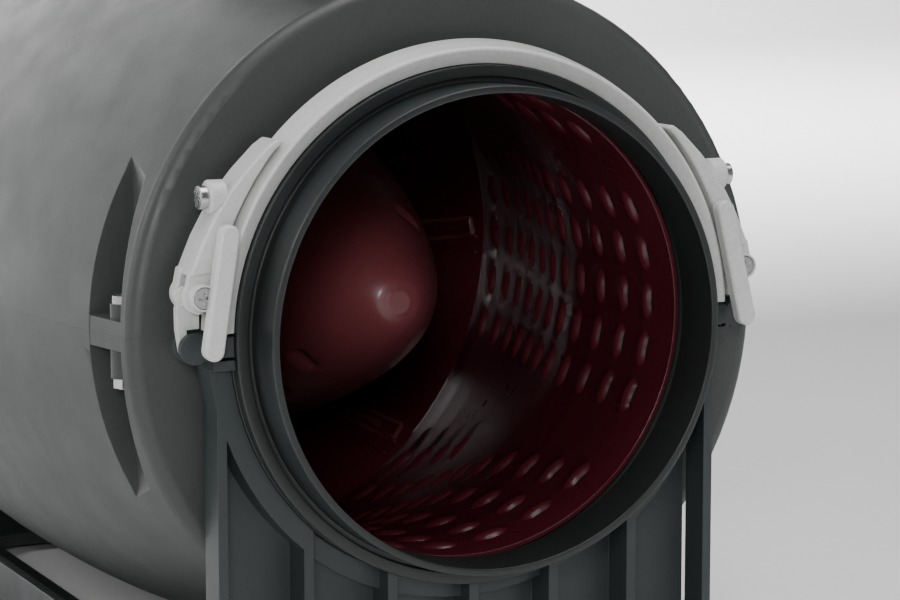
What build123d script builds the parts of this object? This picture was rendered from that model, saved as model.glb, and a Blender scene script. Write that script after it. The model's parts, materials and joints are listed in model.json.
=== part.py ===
"""In-line mixed-flow duct fan with a sound-absorbing housing and quick-release collar straps.

Millimetres. +Y runs along the duct, the outlet mouth faces -Y, +Z is up and the origin lies
under the middle of the support bracket, on the plane its four rubber pads stand on.
Lengths called d are distances from a mouth of the duct, measured into the fan.
"""
import math
import os

from build123d import *

os.makedirs("parts", exist_ok=True)

# ---------------------------------------------------------------- driving dimensions
half_length = 320.0
axis_height = 190.0

spigot_radius = 99.0
spigot_inner = 95.9
collar_flange_start = 19.5
collar_flange_end = 25.2
flange_radius = 106.3
gasket_end = 26.7
neck_flange_end = 33.3
neck_radius = 103.2
neck_inner = 100.4

shell_front = 45.4
shell_wall = 3.6
shell_edge_radius = 6.0
shell_end_radius = 142.2
shell_mid_radius = 167.0

strap_inner = 106.6
strap_cut = 3.8

skin_wall = 1.5
skin_start = 34.6
junction = 336.0
junction_radius = 152.3
louvre_pitch = 25.6

stand_front = 27.0
stand_back = 42.0
stand_half_width = 112.0
stand_floor = 43.0
stand_plate_back = 45.0
rib_pitch = 36.7
rib_width = 4.2
plate_bottom = 4.0
plate_top = 11.0
bolt_x = 88.0
bolt_y = 258.0
bolt_hole = 3.5

pivot_u = 120.8
pivot_z = 18.9
crank = 5.3
shank = 2.0
hub_radius = 5.2
ear_radius = 6.9
link_pin = 1.6
hook_bar_u = 122.0
hook_bar_z = -2.0
hook_bar_radius = 1.85
lever_tilt = 5.0

tower_half_width = 60.0
tower_front = 61.0
tower_depth = 241.6
tower_top = 202.0
lid_thickness = 5.0

shaft_radius = 6.0
running_gap = 0.03
blade_count = 7
vane_count = 8

duct_plane = Plane(origin=(0, 0, axis_height), x_dir=(0, 1, 0), z_dir=(1, 0, 0))
duct_axis = Axis((0, 0, axis_height), (0, 1, 0))


# ---------------------------------------------------------------- helpers
def at(end, d):
    """Y of a point d inside the outlet mouth (end = -1) or the inlet mouth (end = 1)."""
    return end * (half_length - d)


def turned(end, outline, mode=Mode.ADD):
    """Closed outline of (d, radius) pairs turned about the duct axis."""
    with BuildSketch(duct_plane) as outline_sketch:
        with BuildLine():
            Polyline(*[(at(end, d), r) for d, r in outline], close=True)
        make_face()
    revolve(outline_sketch.sketch, axis=duct_axis, mode=mode)


def save(piece, node):
    """Label one finished piece and write its file."""
    piece.label = node
    export_step(piece, "parts/" + node + ".step")


def facing(end, d):
    """Plane across the duct at depth d; local y is up and the normal points into the mouth."""
    return Plane(origin=(0, at(end, d), axis_height), x_dir=(end, 0, 0), z_dir=(0, -end, 0))


def local(side, end, u):
    """Local x on a facing() plane of a point u outside the duct axis on one side."""
    return end * side * u


# ---------------------------------------------------------------- inner skins
skin_points = [
    (skin_start, 97.8), (62.8, 99.3), (87.0, 101.4), (112.0, 103.6), (137.0, 106.6),
    (164.0, 112.1), (190.0, 119.0), (216.0, 126.5), (242.0, 133.8), (268.0, 140.6),
    (293.0, 146.4), (316.0, 150.4), (334.2, 152.3),
]
rear_skin_points = [
    (skin_start, 97.8), (60.0, 96.6), (85.0, 94.4), (108.0, 92.4), (131.4, 91.6),
]
side_rows = [24.3, 12.15, 0.0, -12.15, -24.3]
crown_rows = [41.4, 27.5, 13.8, 0.0, -13.8, -27.5, -41.4]


def radius_at(points, d):
    """Radius of a skin at depth d, read off its outline."""
    for (d0, r0), (d1, r1) in zip(points, points[1:]):
        if d <= d1:
            return r0 + (r1 - r0) * (d - d0) / (d1 - d0)
    return points[-1][1]


def skin_body(end, points):
    """Thin skin turned from its outline."""
    turned(end, points + [(d, r + skin_wall) for d, r in reversed(points)])


def louvre_slots(end, points, columns):
    """Oval slots in four groups of rows; rows keep their spacing as the skin widens."""
    slots = []
    for column in columns:
        r = radius_at(points, column)
        spread = radius_at(points, columns[0]) / r
        angles = []
        for centre, rows in ((0, side_rows), (180, side_rows), (90, crown_rows), (270, crown_rows)):
            angles += [centre + a * spread for a in rows]
        for a in angles:
            out = (math.cos(math.radians(a)), 0, math.sin(math.radians(a)))
            foot = (out[0] * (r - 5), at(end, column), axis_height + out[2] * (r - 5))
            with BuildSketch(Plane(origin=foot, x_dir=(0, 1, 0), z_dir=out)) as slot:
                SlotOverall(15.2, 6.6, rotation=90)
            slots += slot.sketch.faces()
    extrude(slots, amount=14, mode=Mode.SUBTRACT)


with BuildPart() as front_skin:
    skin_body(-1, skin_points)
    louvre_slots(-1, skin_points, [60.5 + louvre_pitch * i for i in range(11)])

with BuildPart() as rear_skin:
    skin_body(1, rear_skin_points)
    louvre_slots(1, rear_skin_points, [60.0, 84.0, 108.0])

save(front_skin.part, "front_skin")
save(rear_skin.part, "rear_skin")

# ---------------------------------------------------------------- collars and gaskets
for end, name in ((-1, "front"), (1, "rear")):
    with BuildPart() as collar:
        turned(end, [
            (0, spigot_inner), (0, spigot_radius - 0.5), (0.5, spigot_radius), (22.4, spigot_radius),
            (22.4, 101.4), (collar_flange_start, 101.4), (collar_flange_start, flange_radius - 0.6),
            (collar_flange_start + 0.6, flange_radius), (collar_flange_end, flange_radius),
            (collar_flange_end, spigot_inner),
        ])
        # key notches beside the strap ends
        with BuildSketch(facing(end, collar_flange_start - 1)):
            for side in (-1, 1):
                for z in (1.6, -6.4):
                    with Locations((local(side, end, 104.4), z)):
                        Rectangle(5.4, 1.3)
        extrude(amount=3.2, mode=Mode.SUBTRACT)
    save(collar.part, name + "_collar")

    with BuildPart() as gasket:
        turned(end, [
            (collar_flange_end, 99.8), (collar_flange_end, 105.4), (gasket_end, 105.4), (gasket_end, 99.8),
        ])
    save(gasket.part, name + "_gasket")

# ---------------------------------------------------------------- clamshell housing
pocket_mid = 64.5
pocket_reach = 75.5
pocket_shoulder = 65.0
pocket_front = 53.4
pocket_back = 79.2
pocket_floor = 129.0


def lens(end, grow):
    """Side-view outline of a screw pocket on the YZ plane: two long bowed sides and two short round ends."""
    low = pocket_front + 6.6 - grow
    high = pocket_back - 3.2 + grow
    tip = pocket_reach + grow
    with BuildLine() as rim:
        for up in (-1, 1):
            ThreePointArc((at(end, low), up * pocket_shoulder), (at(end, (low + high) / 2), up * tip),
                          (at(end, high), up * pocket_shoulder))
        ThreePointArc((at(end, low), pocket_shoulder), (at(end, pocket_front - grow), 0),
                      (at(end, low), -pocket_shoulder))
        ThreePointArc((at(end, high), pocket_shoulder), (at(end, pocket_back + grow), 0),
                      (at(end, high), -pocket_shoulder))
    make_face(rim.line.edges())


def side_plane(u):
    """YZ plane u outside the duct axis on the +X side."""
    return Plane(origin=(u, 0, axis_height), x_dir=(0, 1, 0), z_dir=(1, 0, 0))


def envelope(inset):
    """Barrel of the housing between its end faces, drawn in by a margin."""
    y0 = half_length - shell_front - inset - 1.0
    yc = half_length - shell_front - shell_edge_radius
    with BuildSketch(duct_plane) as barrel:
        with BuildLine():
            Line((-y0, 0), (y0, 0))
            Line((y0, 0), (y0, shell_end_radius - inset - 1))
            Line((-y0, 0), (-y0, shell_end_radius - inset - 1))
            Line((y0, shell_end_radius - inset - 1), (yc, shell_end_radius - inset))
            Line((-y0, shell_end_radius - inset - 1), (-yc, shell_end_radius - inset))
            ThreePointArc((-yc, shell_end_radius - inset), (0, shell_mid_radius - inset),
                          (yc, shell_end_radius - inset))
        make_face()
    revolve(barrel.sketch, axis=duct_axis, mode=Mode.INTERSECT)


def barrel_inner(d):
    """Inside radius of the barrel wall at depth d."""
    half_chord = half_length - shell_front - shell_edge_radius
    low = shell_end_radius - shell_wall - 1.4
    rise = shell_mid_radius - shell_wall - low
    big = (half_chord ** 2 + rise ** 2) / (2 * rise)
    return low + rise - (big - math.sqrt(big ** 2 - (d - half_length) ** 2))


with BuildPart() as pocket_tubs:
    for end in (-1, 1):
        with BuildSketch(side_plane(pocket_floor - shell_wall)):
            lens(end, shell_wall)
    extrude(amount=30)
    mirror(about=Plane.YZ)
    envelope(0.6)

with BuildPart() as pocket_webs:
    for end in (-1, 1):
        with BuildSketch(side_plane(pocket_floor - 1)):
            lens(end, 0)
    extrude(amount=30)
    mirror(about=Plane.YZ)
    with BuildSketch(Plane.XY.offset(axis_height)):
        Rectangle(400, 700)
    extrude(amount=6, both=True, mode=Mode.INTERSECT)
    envelope(0.2)

with BuildPart() as housing:
    y_neck = half_length - gasket_end
    y_flange = half_length - neck_flange_end
    y_front = half_length - shell_front
    y_edge = y_front - shell_edge_radius
    bend = shell_edge_radius * (1 - math.cos(math.radians(45)))
    face_radius = shell_end_radius - shell_edge_radius
    y_in = y_front - shell_wall
    with BuildSketch(duct_plane):
        with BuildLine():
            Polyline(
                (-y_edge, shell_end_radius - shell_wall - 1.4), (-y_in, face_radius - 0.6), (-y_in, neck_inner),
                (-y_neck, neck_inner), (-y_neck, flange_radius), (-y_flange, flange_radius),
                (-y_flange, neck_radius), (-y_front, neck_radius), (-y_front, face_radius),
            )
            ThreePointArc((-y_front, face_radius), (-y_front + bend, shell_end_radius - bend),
                          (-y_edge, shell_end_radius))
            ThreePointArc((-y_edge, shell_end_radius), (0, shell_mid_radius), (y_edge, shell_end_radius))
            ThreePointArc((y_edge, shell_end_radius), (y_front - bend, shell_end_radius - bend),
                          (y_front, face_radius))
            Polyline(
                (y_front, face_radius), (y_front, neck_radius), (y_flange, neck_radius),
                (y_flange, flange_radius), (y_neck, flange_radius), (y_neck, neck_inner),
                (y_in, neck_inner), (y_in, face_radius - 0.6), (y_edge, shell_end_radius - shell_wall - 1.4),
            )
            ThreePointArc((-y_edge, shell_end_radius - shell_wall - 1.4), (0, shell_mid_radius - shell_wall),
                          (y_edge, shell_end_radius - shell_wall - 1.4))
        make_face()
    revolve(axis=duct_axis)
    add(pocket_tubs.part)
    for end in (-1, 1):
        with BuildSketch(side_plane(pocket_floor)):
            lens(end, 0)
        with BuildSketch(Plane(origin=(-pocket_floor, 0, axis_height), x_dir=(0, 1, 0), z_dir=(-1, 0, 0))):
            lens(end, 0)
    extrude(amount=40, mode=Mode.SUBTRACT)
    add(pocket_webs.part)

screw_u = 137.4
screw_spots = [(side * screw_u, at(end, pocket_mid)) for side in (-1, 1) for end in (-1, 1)]

tower_mid = (at(-1, tower_front) + at(-1, tower_depth)) / 2
tower_run = tower_depth - tower_front
tower_foot = 120

with BuildPart() as tower:
    with BuildSketch(Plane.XY.offset(axis_height + tower_foot)):
        with Locations((0, tower_mid)):
            RectangleRounded(2 * tower_half_width, tower_run, 5)
            RectangleRounded(2 * tower_half_width - 6.4, tower_run - 6.4, 2.5, mode=Mode.SUBTRACT)
    extrude(amount=tower_top - tower_foot)
    # rails that carry the terminal tray
    with BuildSketch(Plane.XY.offset(axis_height + tower_foot)):
        with Locations((0, tower_mid - 62), (0, tower_mid + 50)):
            Rectangle(2 * tower_half_width - 4, 4)
    extrude(amount=48)
    turned(-1, [(51, 0)] + [(d, barrel_inner(d) + 0.8) for d in range(51, 300, 12)] + [(300, 0)],
           mode=Mode.SUBTRACT)

with BuildPart() as upper_shell:
    add(housing.part)
    split(bisect_by=Plane(origin=(0, 0, axis_height), z_dir=(0, 0, 1)), keep=Keep.TOP)
    with BuildSketch(Plane.XY.offset(axis_height + 5)):
        with Locations(*screw_spots):
            Circle(5.4)
    extrude(amount=7)
    with BuildSketch(Plane.XY.offset(axis_height - 1)):
        with Locations(*screw_spots):
            Circle(2.7)
    extrude(amount=20, mode=Mode.SUBTRACT)
    add(tower.part)
    # corner posts for the lid screws
    with BuildSketch(Plane.XY.offset(axis_height + 162)):
        with Locations((0, tower_mid)):
            with GridLocations(2 * tower_half_width - 16, tower_run - 16, 2, 2):
                Rectangle(10, 10)
    extrude(amount=tower_top - 162 - 1)
    with BuildSketch(Plane.XY.offset(axis_height + tower_top - 16)):
        with Locations((0, tower_mid)):
            with GridLocations(2 * tower_half_width - 16, tower_run - 16, 2, 2):
                Circle(1.8)
    extrude(amount=20, mode=Mode.SUBTRACT)
    # cable gland bore in the inlet-side wall
    with BuildSketch(facing(-1, tower_depth - 8)):
        with Locations((-28, tower_top - 18)):
            Circle(8.2)
    extrude(amount=12, mode=Mode.SUBTRACT)

with BuildPart() as lower_shell:
    add(housing.part)
    split(bisect_by=Plane(origin=(0, 0, axis_height), z_dir=(0, 0, 1)), keep=Keep.BOTTOM)
    with BuildSketch(Plane.XY.offset(axis_height - 18)):
        with Locations(*screw_spots):
            Circle(5.4)
    extrude(amount=13)
    with BuildSketch(Plane.XY.offset(axis_height - 30)):
        with Locations(*screw_spots):
            Circle(2.7)
    extrude(amount=40, mode=Mode.SUBTRACT)

save(upper_shell.part, "upper_shell")
save(lower_shell.part, "lower_shell")

with BuildPart() as shell_screws:
    with BuildSketch(Plane.XY.offset(axis_height + 12)):
        with Locations(*screw_spots):
            Circle(4.6)
    extrude(amount=3.4)
    with BuildSketch(Plane.XY.offset(axis_height - 22.5)):
        with Locations(*screw_spots):
            Circle(2.5)
    extrude(amount=36)
    with BuildSketch(Plane.XY.offset(axis_height + 13.8)):
        with Locations(*screw_spots):
            Rectangle(4.6, 1.1)
            Rectangle(1.1, 4.6)
    extrude(amount=4, mode=Mode.SUBTRACT)
save(shell_screws.part, "shell_screws")

with BuildPart() as shell_nuts:
    with BuildSketch(Plane.XY.offset(axis_height - 22)):
        with Locations(*screw_spots):
            RegularPolygon(4.6, 6)
            Circle(2.5, mode=Mode.SUBTRACT)
    extrude(amount=4)
save(shell_nuts.part, "shell_nuts")

# ---------------------------------------------------------------- acoustic linings
def lining_radius(d):
    """Outside radius of a lining, a little in from the barrel wall."""
    return barrel_inner(d) - 0.4


with BuildPart() as front_lining:
    outer = [(d, lining_radius(d)) for d in (84, 120, 160, 200, 240, 280, 310, 333.8)]
    inner = [(d, radius_at(skin_points, d) + skin_wall + 0.4) for d in
             (334, 316, 293, 268, 242, 216, 190, 164, 137, 112, 87, 62.8, 50)]
    turned(-1, [(50, 123), (84, 123)] + outer + [(333.8, junction_radius + skin_wall + 0.4)] + inner[1:])
save(front_lining.part, "front_lining")

with BuildPart() as rear_lining:
    outer = [(d, lining_radius(d)) for d in (84, 100, 118, 130.8)]
    inner = [(d, radius_at(rear_skin_points, d) + skin_wall + 0.4) for d in (130.8, 108, 85, 60, 50)]
    turned(1, [(50, 123), (84, 123)] + outer + inner)
save(rear_lining.part, "rear_lining")

# ---------------------------------------------------------------- stage casing with guide vanes
casing_wall = 2.6
casing_points = [
    (junction, junction_radius), (348, 147.6), (362, 141.2), (378, 133.4), (394, 125.8), (408, 120.6),
    (420, 118.6), (434, 118.2),
]
shroud_points = [(434, 118.2), (446, 114.4), (460, 107.6), (474, 99.6), (488, 93.0), (500, 91.0), (508, 91.6)]


def casing_radius(d):
    """Inside radius of the stage casing at depth d."""
    return radius_at(casing_points + shroud_points[1:], d)


hub_outer = [(345.4, 96.8), (374, 93.0), (420, 86.0), (433, 84.2)]


def fins(count, d, chord, thickness, stagger, start, reach, turn):
    """Flat blades standing out of the axis, staggered about their own length."""
    faces = []
    for k in range(count):
        a = math.radians(turn + 360.0 * k / count)
        out = (math.cos(a), 0, math.sin(a))
        foot = (out[0] * start, at(-1, d), axis_height + out[2] * start)
        with BuildSketch(Plane(origin=foot, x_dir=(0, 1, 0), z_dir=out)) as fin:
            Rectangle(chord, thickness, rotation=stagger)
        faces += fin.sketch.faces()
    extrude(faces, amount=reach)


with BuildPart() as vanes:
    fins(vane_count, 398, 42, 2.4, 24, 70, 80, 20)
    turned(-1, [(378, 91.0), (418, 85.0), (418, 119.6), (408, 121.4), (394, 126.8), (378, 134.6)],
           mode=Mode.INTERSECT)

with BuildPart() as stage_casing:
    inner = casing_points + shroud_points[1:]
    outer = [(d, r + casing_wall) for d, r in reversed(inner[1:-1])]
    turned(-1, inner + [
        (508, 150.6), (505, 150.6), (505, 91.6 + casing_wall),
    ] + outer + [(338.6, junction_radius + 1.4), (338.6, lining_radius(338)), (334.6, lining_radius(334)),
                 (334.6, junction_radius)])
    # raised frames on the visible cone
    for k in range(vane_count):
        a = -3.0 + 45.0 * k
        for shift in (-3.9, 3.9):
            angle = a + math.degrees(shift / 142.0)
            out = (math.cos(math.radians(angle)), math.sin(math.radians(angle)))
            with BuildSketch(Plane(origin=(0, 0, axis_height), x_dir=(0, 1, 0),
                                   z_dir=(-out[1], 0, out[0]))):
                with BuildLine():
                    Polyline(
                        (at(-1, 340), 151.8), (at(-1, 372), 137.6), (at(-1, 372), 135.0),
                        (at(-1, 340), 149.2), close=True,
                    )
                make_face()
    extrude(amount=0.7, both=True)
    add(vanes.part)
    # hub sleeve with the motor plate
    turned(-1, [(340, 92.4)] + [(345.4, 92.4)] + hub_outer + [
        (433, 81.8), (420, 83.4), (374, 90.2), (349, 92.0), (349, 30.0), (345.4, 30.0), (345.4, 89.8), (340, 89.8),
    ])
    with BuildSketch(facing(-1, 344)):
        with PolarLocations(68, 4, start_angle=45):
            Circle(2.25)
    extrude(amount=8, mode=Mode.SUBTRACT)
save(stage_casing.part, "stage_casing")

# ---------------------------------------------------------------- hub dome and motor
dome_tip = 102.0
dome_base = 345.4


def dome_radius(d):
    """Outside radius of the bullet-shaped dome at depth d."""
    return 5.5 + 82.0 * ((d - dome_tip) / 200.0) ** 0.606


dome_stations = [102.0, 102.6, 103.6, 105.4, 108, 112, 117, 123, 130, 140, 152, 166, 182, 200, 220, 242, 266, 292,
                 320, dome_base]
with BuildPart() as dome:
    outer = [(d, dome_radius(d)) for d in dome_stations]
    inner = [(d + 2.0, dome_radius(d) - 1.8) for d in dome_stations[3:-1]]
    turned(-1, [(dome_tip, 0)] + outer + [(dome_base, dome_radius(dome_base) - 2.0)] + inner[::-1]
           + [(inner[0][0], 0)])
save(dome.part, "hub_dome")

with BuildPart() as motor_endcap:
    turned(-1, [(349, 7.2), (349, 76), (353, 76), (353, 20), (363, 20), (363, 16.02), (353, 16.02), (353, 7.2)])
    with BuildSketch(facing(-1, 348)):
        with PolarLocations(68, 4, start_angle=45):
            Circle(2.25)
    extrude(amount=6, mode=Mode.SUBTRACT)
save(motor_endcap.part, "motor_endcap")

with BuildPart() as motor_screws:
    with BuildSketch(facing(-1, 343.2)):
        with PolarLocations(68, 4, start_angle=45):
            Circle(3.8)
    extrude(amount=2.2)
    with BuildSketch(facing(-1, 345)):
        with PolarLocations(68, 4, start_angle=45):
            Circle(2.2)
    extrude(amount=11)
save(motor_screws.part, "motor_screws")

with BuildPart() as motor_can:
    turned(-1, [(353, 59), (353, 62), (430, 62), (430, 7.2), (426, 7.2), (426, 16.02), (416, 16.02), (416, 20),
                (426, 20), (426, 59)])
save(motor_can.part, "motor_can")

with BuildPart() as stator_core:
    turned(-1, [(372, 34), (372, 58.98), (406, 58.98), (406, 34)])
    with BuildSketch(facing(-1, 370)):
        with PolarLocations(43, 12):
            Circle(4.0)
    extrude(amount=40, mode=Mode.SUBTRACT)
save(stator_core.part, "stator_core")

with BuildPart() as windings:
    for start, stop in ((363.5, 372), (406, 414.5)):
        turned(-1, [(start, 38), (start, 54), (stop, 54), (stop, 38)])
save(windings.part, "motor_windings")

for node, start in (("front_bearing", 353.0), ("rear_bearing", 416.0)):
    with BuildPart() as bearing:
        turned(-1, [(start, shaft_radius + running_gap), (start, 16), (start + 10, 16),
                    (start + 10, shaft_radius + running_gap)])
        turned(-1, [(start, 9.2), (start, 13.2), (start + 1, 13.2), (start + 1, 9.2)], mode=Mode.SUBTRACT)
        turned(-1, [(start + 9, 9.2), (start + 9, 13.2), (start + 10, 13.2), (start + 10, 9.2)],
               mode=Mode.SUBTRACT)
    save(bearing.part, node)

with BuildPart() as shaft:
    turned(-1, [(351, 0), (351, 5.5), (351.5, shaft_radius), (502.4, shaft_radius), (503, 5.4), (503, 0)])
save(shaft.part, "rotor_shaft")

with BuildPart() as rotor_core:
    turned(-1, [(370, shaft_radius), (370, 33.4), (408, 33.4), (408, shaft_radius)])
save(rotor_core.part, "rotor_core")

impeller_hub = [(436, 84.0), (450, 78.0), (465, 66.0), (480, 52.0), (496, 40.0)]
with BuildPart() as blades:
    fins(blade_count, 465.5, 78, 2.8, -42, 34, 100, 0)
    turned(-1, [(d, r - 1.2) for d, r in impeller_hub] + [
        (494, 89.4), (488, 91.4), (474, 98.0), (460, 105.9), (446, 112.7), (437, 116.4),
    ], mode=Mode.INTERSECT)

with BuildPart() as impeller:
    add(blades.part)
    turned(-1, impeller_hub + [
        (496, shaft_radius), (440, shaft_radius), (440, 14), (491, 14), (491, 38), (478, 49.5), (463, 63.5),
        (449, 75), (436, 80.5),
    ])
save(impeller.part, "impeller")

with BuildPart() as nose:
    turned(-1, [(496, shaft_radius), (496, 17), (502, 15.5), (508, 10.5), (511, 0), (503.2, 0),
                (503.2, shaft_radius)])
save(nose.part, "impeller_nose_nut")

# ---------------------------------------------------------------- quick-release straps
boss_z = 57.0
boss_d = 28.0
strap_section = [
    (21.8, strap_inner), (18.6, 112.4), (19.3, 113.3), (33.4, 116.3), (36.0, 115.2), (36.0, 103.6),
    (33.6, 103.6), (33.6, strap_inner),
]
strap_keepout = [(12, 0), (12, 112.0), (19.2, 113.4), (33.4, 116.45), (39, 116.45), (39, 0)]

for end, name in ((-1, "front"), (1, "rear")):
    with BuildPart() as strap:
        turned(end, strap_section)
        split(bisect_by=Plane(origin=(0, 0, axis_height + strap_cut), z_dir=(0, 0, 1)), keep=Keep.TOP)
        with BuildSketch(Plane(origin=(0, at(end, boss_d), axis_height + boss_z), x_dir=(0, 1, 0),
                               z_dir=(1, 0, 0))):
            Circle(2.1)
        extrude(amount=130, both=True, mode=Mode.SUBTRACT)
    save(strap.part, name + "_strap")


def bar(p, q, r):
    """Straight bar with round ends between two points of a sketch."""
    dx = q[0] - p[0]
    dy = q[1] - p[1]
    run = math.hypot(dx, dy)
    nx = -dy / run * r
    ny = dx / run * r
    with Locations(p, q):
        Circle(r)
    with BuildLine() as sides:
        Polyline((p[0] + nx, p[1] + ny), (q[0] + nx, q[1] + ny), (q[0] - nx, q[1] - ny), (p[0] - nx, p[1] - ny),
                 close=True)
    make_face(sides.line.edges())


def area(side, end, points):
    """Closed face through (u, z) points on one side of the duct."""
    with BuildLine() as edge:
        Polyline(*[(local(side, end, u), z) for u, z in points], close=True)
    make_face(edge.line.edges())


def spot(side, end, u, z):
    """Sketch point of a (u, z) pair on one side of the duct."""
    return (local(side, end, u), z)


bracket_front = 21.0
bracket_back = 38.0
ear_back = 24.4
ear_start = 31.6
head_depth = 16.0
grip_depth = 11.5
grip_thickness = 6.2
boss_u = 115.6
boss_radius = 6.8
bracket_outline = [
    (84.0, 74.0), (88.0, 79.4), (92.5, 76.2), (101.6, 67.1), (108.0, 59.5), (114.0, 50.5), (119.0, 41.5),
    (123.5, 31.0), (125.2, 26.6), (112.6, 26.6), (104.0, 46.0),
]
ear_outline = [(127.2, 21.5), (124.8, 28.0), (113.4, 28.0), (114.4, 21.0)]
# outline of the hook's open side, from the middle of its catch bar
hook_gap = [(0, 0), (5.4, 2.6), (5.4, 6), (-6, 6), (-6, -6), (-4.2, -6)]


def leaning(end):
    """Plane of the lever's grip, at the height of its pivot; the grip leans into the duct towards its top."""
    lean = math.radians(lever_tilt)
    return Plane(origin=(0, at(end, grip_depth), axis_height + pivot_z), x_dir=(end, 0, 0),
                 z_dir=(0, -end * math.cos(lean), -math.sin(lean)))


with BuildPart() as pivot_screws:
    for end in (-1, 1):
        for side in (-1, 1):
            with BuildSketch(facing(end, head_depth + 0.4)):
                with Locations(spot(side, end, pivot_u, pivot_z)):
                    Circle(4.1)
            extrude(amount=2.4)
            with BuildSketch(facing(end, head_depth + 2.7)):
                with Locations(spot(side, end, pivot_u, pivot_z)):
                    Circle(shank)
            extrude(amount=bracket_back - head_depth - 2.3)
            with BuildSketch(facing(end, head_depth)):
                with Locations(spot(side, end, pivot_u, pivot_z)):
                    Rectangle(4.4, 1.0)
                    Rectangle(1.0, 4.4)
            extrude(amount=1.6, mode=Mode.SUBTRACT)
save(pivot_screws.part, "pivot_screws")

with BuildPart() as boss_screws:
    for end in (-1, 1):
        for side in (-1, 1):
            seat = Plane(origin=(side * boss_u, at(end, boss_d), axis_height + boss_z), x_dir=(0, 1, 0),
                         z_dir=(side, 0, 0))
            with BuildSketch(seat):
                Circle(4.6)
            extrude(amount=3.2)
            with BuildSketch(seat.offset(-18)):
                Circle(2.05)
            extrude(amount=18.5)
            with BuildSketch(seat.offset(1.7)):
                Rectangle(4.8, 1.1)
                Rectangle(1.1, 4.8)
            extrude(amount=3, mode=Mode.SUBTRACT)
save(boss_screws.part, "boss_screws")

for end, name in ((-1, "front"), (1, "rear")):
    for side, hand in ((-1, "left"), (1, "right")):
        with BuildPart() as bracket:
            with BuildSketch(facing(end, bracket_front)):
                area(side, end, bracket_outline)
            extrude(amount=bracket_back - bracket_front)
            for start, stop in ((bracket_front, ear_back), (ear_start, bracket_back)):
                with BuildSketch(facing(end, start)):
                    area(side, end, ear_outline)
                    with Locations(spot(side, end, pivot_u, pivot_z)):
                        Circle(ear_radius)
                extrude(amount=stop - start)
            with BuildSketch(Plane(origin=(side * 96, at(end, boss_d), axis_height + boss_z), x_dir=(0, 1, 0),
                                   z_dir=(side, 0, 0))):
                Circle(boss_radius)
            extrude(amount=boss_u - 96)
            turned(end, strap_keepout, mode=Mode.SUBTRACT)
            with BuildSketch(facing(end, bracket_front - 1)):
                with Locations(spot(side, end, pivot_u, pivot_z)):
                    Circle(hub_radius + 0.05)
            extrude(amount=ear_back - bracket_front + 2, mode=Mode.SUBTRACT)
            with BuildSketch(facing(end, ear_start - 1)):
                with Locations(spot(side, end, pivot_u, pivot_z)):
                    Circle(shank + 0.02)
            extrude(amount=12, mode=Mode.SUBTRACT)
            with BuildSketch(Plane(origin=(side * 90, at(end, boss_d), axis_height + boss_z), x_dir=(0, 1, 0),
                                   z_dir=(side, 0, 0))):
                Circle(2.1)
            extrude(amount=40, mode=Mode.SUBTRACT)
        save(bracket.part, name + "_" + hand + "_latch_bracket")

        with BuildPart() as lever:
            with BuildSketch(leaning(end)):
                bar(spot(side, end, 110.5, 43.0 - pivot_z), spot(side, end, 118.8, -1.2 - pivot_z), 4.1)
            extrude(amount=grip_thickness)
            with BuildSketch(facing(end, head_depth)):
                with Locations(spot(side, end, pivot_u, pivot_z)):
                    Circle(hub_radius)
            extrude(amount=ear_back + 0.2 - head_depth)
            with BuildSketch(facing(end, ear_back + 0.2)):
                bar(spot(side, end, pivot_u, pivot_z), spot(side, end, pivot_u + crank, pivot_z), 4.0)
                with Locations(spot(side, end, pivot_u, pivot_z)):
                    Circle(hub_radius)
            extrude(amount=2.4)
            with BuildSketch(facing(end, head_depth)):
                with Locations(spot(side, end, pivot_u, pivot_z)):
                    Circle(4.4)
            extrude(amount=2.8, mode=Mode.SUBTRACT)
            with BuildSketch(facing(end, head_depth)):
                with Locations(spot(side, end, pivot_u, pivot_z)):
                    Circle(shank + 0.04)
            extrude(amount=12, mode=Mode.SUBTRACT)
            with BuildSketch(facing(end, ear_back + 2.5)):
                with Locations(spot(side, end, pivot_u + crank, pivot_z)):
                    Circle(link_pin)
            extrude(amount=4.5)
        save(lever.part, name + "_" + hand + "_lever")

        with BuildPart() as link:
            with BuildSketch(facing(end, ear_back + 2.8)):
                with Locations(spot(side, end, hook_bar_u, hook_bar_z)):
                    Circle(5.0)
                    Circle(hook_bar_radius + 0.3, mode=Mode.SUBTRACT)
                area_gap = [(hook_bar_u + u, hook_bar_z + z) for u, z in hook_gap]
                with BuildLine() as gap:
                    Polyline(*[spot(side, end, u, z) for u, z in area_gap], close=True)
                make_face(gap.line.edges(), mode=Mode.SUBTRACT)
                bar(spot(side, end, 126.5, 5.5), spot(side, end, 126.2, -2.5), 1.8)
                bar(spot(side, end, pivot_u + crank, pivot_z), spot(side, end, 126.0, 9.0), 2.4)
                area(side, end, [(119.0, 13.8), (119.0, 5.2), (128.3, 5.2), (128.3, 13.8)])
                with Locations(spot(side, end, pivot_u + crank, pivot_z)):
                    Circle(3.1)
                    Circle(link_pin + 0.04, mode=Mode.SUBTRACT)
            extrude(amount=4.0)
        save(link.part, name + "_" + hand + "_link")

# ---------------------------------------------------------------- support bracket and pads
columns = [(k * rib_pitch + rib_width / 2, (k + 1) * rib_pitch - rib_width / 2) for k in range(-3, 3)]


def pocket_columns(chosen):
    """Rectangles between the saddle's ribs."""
    for x0, x1 in chosen:
        with Locations(((x0 + x1) / 2, -86)):
            Rectangle(x1 - x0, 176)


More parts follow.
